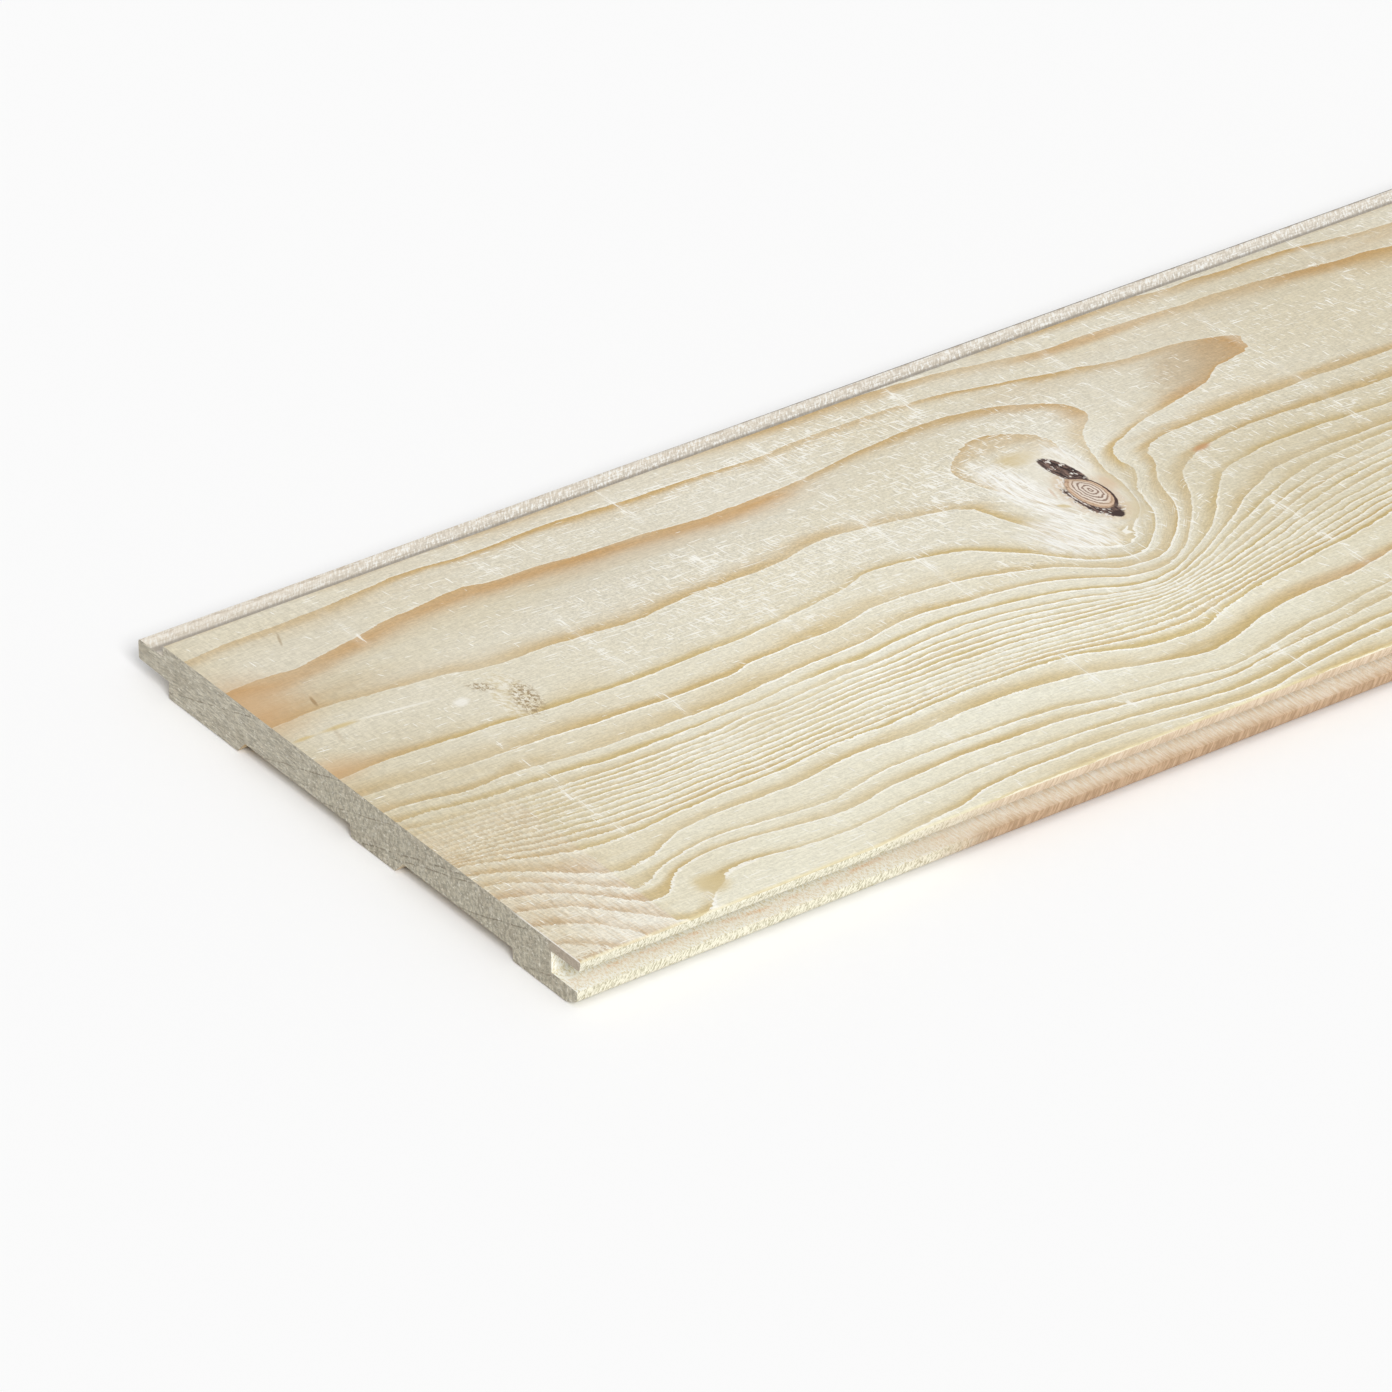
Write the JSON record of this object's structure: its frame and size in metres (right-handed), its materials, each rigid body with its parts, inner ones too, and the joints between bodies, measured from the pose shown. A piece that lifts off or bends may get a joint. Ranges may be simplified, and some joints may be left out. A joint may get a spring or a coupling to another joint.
{
  "type": "tongue and groove board",
  "caption": "Flat softwood panelling board with a tongue along one long edge, a groove along the other and shallow relief channels along its back.",
  "frame": {"origin": "middle of the board's footprint, on the surface it lies on", "axes": "+X along the board, +Y across it from the groove edge to the tongue, +Z from the back up to the face"},
  "size_m": [0.9, 0.135, 0.01],
  "materials": {
    "softwood": "planed, unfinished knotty spruce or pine"
  },
  "bodies": {
    "root": {"tongue_and_groove_board": "softwood"}
  },
  "joints": []
}
